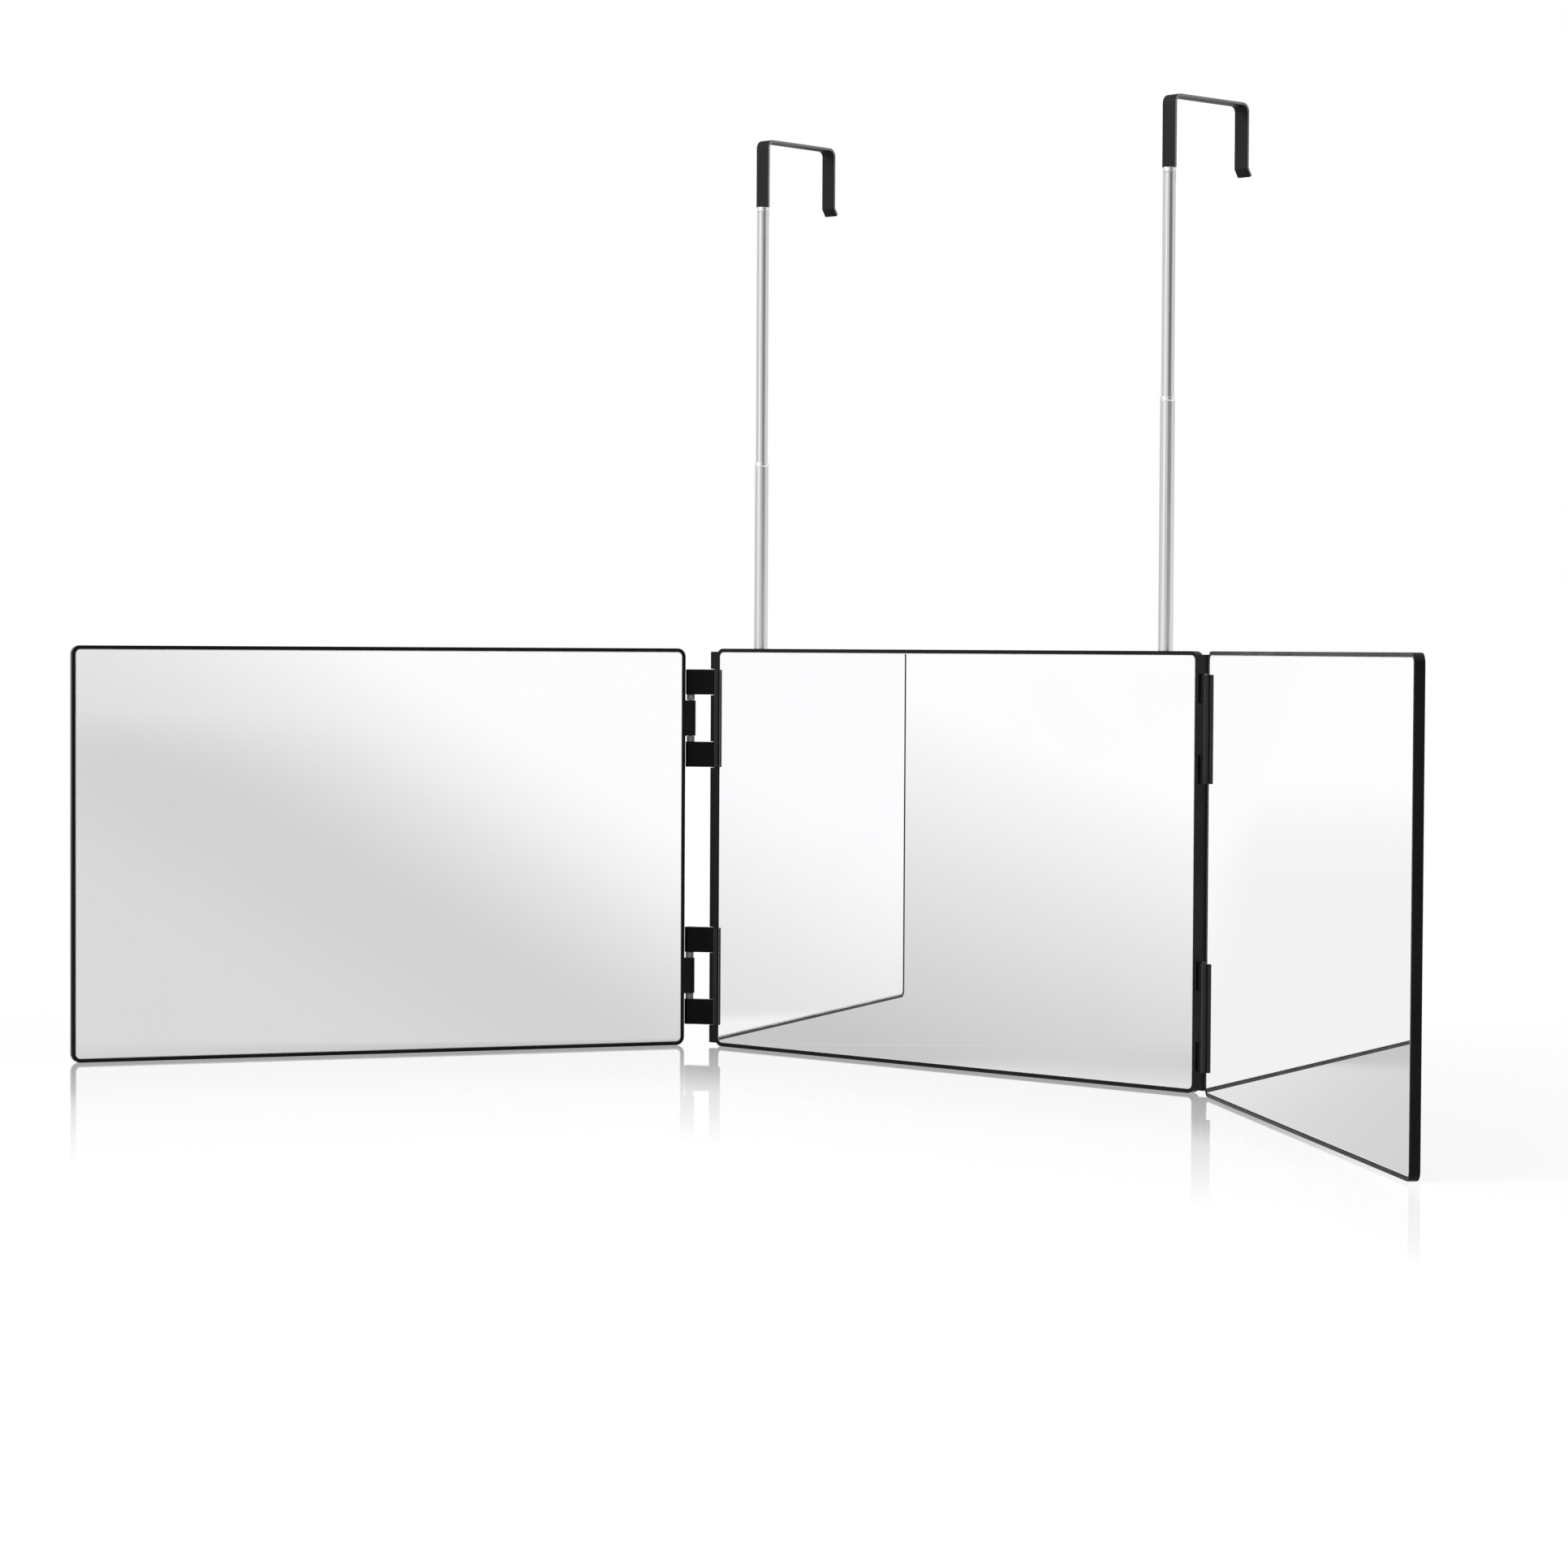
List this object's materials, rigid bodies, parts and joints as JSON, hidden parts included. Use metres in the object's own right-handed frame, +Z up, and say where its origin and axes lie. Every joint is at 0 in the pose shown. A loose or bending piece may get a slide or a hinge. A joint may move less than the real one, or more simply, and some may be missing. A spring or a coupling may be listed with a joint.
{
  "type": "trifold mirror",
  "caption": "Trifold mirror of link-hinged panels that fold over each other, carried on telescopic rods with swivelling over-door hooks.",
  "frame": {"origin": "middle of the centre panel's bottom edge face, at the panel's mid-thickness; the mirror stands on this edge", "axes": "+X along the centre panel, to the right as seen from the front; +Y to the panel's back, so the mirrors face -Y; +Z up along the rods"},
  "size_m": [0.6837, 0.3336, 0.4303],
  "materials": {
    "panel_plastic": "fine satin moulded black",
    "cover_plastic": "fine satin moulded black",
    "link_plastic": "smooth moulded black",
    "mirror_glass": "silvered glass with ground edges",
    "foam_tape": "white closed-cell foam",
    "bumper_rubber": "matt black",
    "rod_steel": "bright drawn tube",
    "ring_steel": "polished",
    "pin_steel": "ground",
    "nylon": "natural nylon",
    "hook_steel": "black paint, satin",
    "screw_steel": "blackened"
  },
  "bodies": {
    "center": {"center_frame": "panel_plastic", "center_tape": "foam_tape", "center_mirror": "mirror_glass", "center_bumpers": "bumper_rubber", "left_guide_tube": "rod_steel", "left_guide_plug": "nylon", "left_guide_cover": "cover_plastic", "right_guide_tube": "rod_steel", "right_guide_plug": "nylon", "right_guide_cover": "cover_plastic", "cover_screws": "screw_steel"},
    "left_link": {"left_link_arms": "link_plastic", "left_inner_pins": "pin_steel", "left_outer_pins": "pin_steel", "left_link_washers": "nylon"},
    "left_wing": {"left_frame": "panel_plastic", "left_tape": "foam_tape", "left_mirror": "mirror_glass"},
    "right_link": {"right_link_arms": "link_plastic", "right_inner_pins": "pin_steel", "right_outer_pins": "pin_steel", "right_link_washers": "nylon"},
    "right_wing": {"right_frame": "panel_plastic", "right_tape": "foam_tape", "right_mirror": "mirror_glass", "right_bumpers": "bumper_rubber"},
    "left_lower_rod": {"left_lower_tube": "rod_steel", "left_lower_ferrule": "ring_steel", "left_lower_stop": "nylon"},
    "left_upper_rod": {"left_upper_tube": "rod_steel", "left_upper_stop": "nylon"},
    "left_hook": {"left_hook_stud": "ring_steel", "left_hook_strap": "hook_steel"},
    "right_lower_rod": {"right_lower_tube": "rod_steel", "right_lower_ferrule": "ring_steel", "right_lower_stop": "nylon"},
    "right_upper_rod": {"right_upper_tube": "rod_steel", "right_upper_stop": "nylon"},
    "right_hook": {"right_hook_stud": "ring_steel", "right_hook_strap": "hook_steel"}
  },
  "joints": [
    {"name": "left_link_hinge", "type": "hinge", "parent": "center", "child": "left_link", "pos_m": [-0.1508, 0, 0.095], "axis": [0, 0, 1], "range_deg": [-30, 60]},
    {"name": "left_wing_hinge", "type": "hinge", "parent": "left_link", "child": "left_wing", "pos_m": [-0.16119, -0.006, 0.095], "axis": [0, 0, 1], "range_deg": [-35.5, 54.5]},
    {"name": "right_link_hinge", "type": "hinge", "parent": "center", "child": "right_link", "pos_m": [0.1508, 0, 0.095], "axis": [0, 0, -1], "range_deg": [-35, 55]},
    {"name": "right_wing_hinge", "type": "hinge", "parent": "right_link", "child": "right_wing", "pos_m": [0.15588, -0.00356, 0.095], "axis": [0, 0, -1], "range_deg": [-1.5, 88.5]},
    {"name": "left_lower_slide", "type": "slide", "parent": "center", "child": "left_lower_rod", "axis": [0, 0, 1], "range_m": [-0.086, 0.048]},
    {"name": "left_upper_slide", "type": "slide", "parent": "left_lower_rod", "child": "left_upper_rod", "axis": [0, 0, 1], "range_m": [-0.117, 0.012]},
    {"name": "left_hook_swivel", "type": "hinge", "parent": "left_upper_rod", "child": "left_hook", "pos_m": [-0.1242, 0.0043, 0.39], "axis": [0, 0, 1], "range_deg": [-94, 86]},
    {"name": "right_lower_slide", "type": "slide", "parent": "center", "child": "right_lower_rod", "axis": [0, 0, 1], "range_m": [-0.1075, 0.027]},
    {"name": "right_upper_slide", "type": "slide", "parent": "right_lower_rod", "child": "right_upper_rod", "axis": [0, 0, 1], "range_m": [-0.095, 0.034]},
    {"name": "right_hook_swivel", "type": "hinge", "parent": "right_upper_rod", "child": "right_hook", "pos_m": [0.1242, 0.0043, 0.39], "axis": [0, 0, 1], "range_deg": [-88.5, 91.5]}
  ]
}
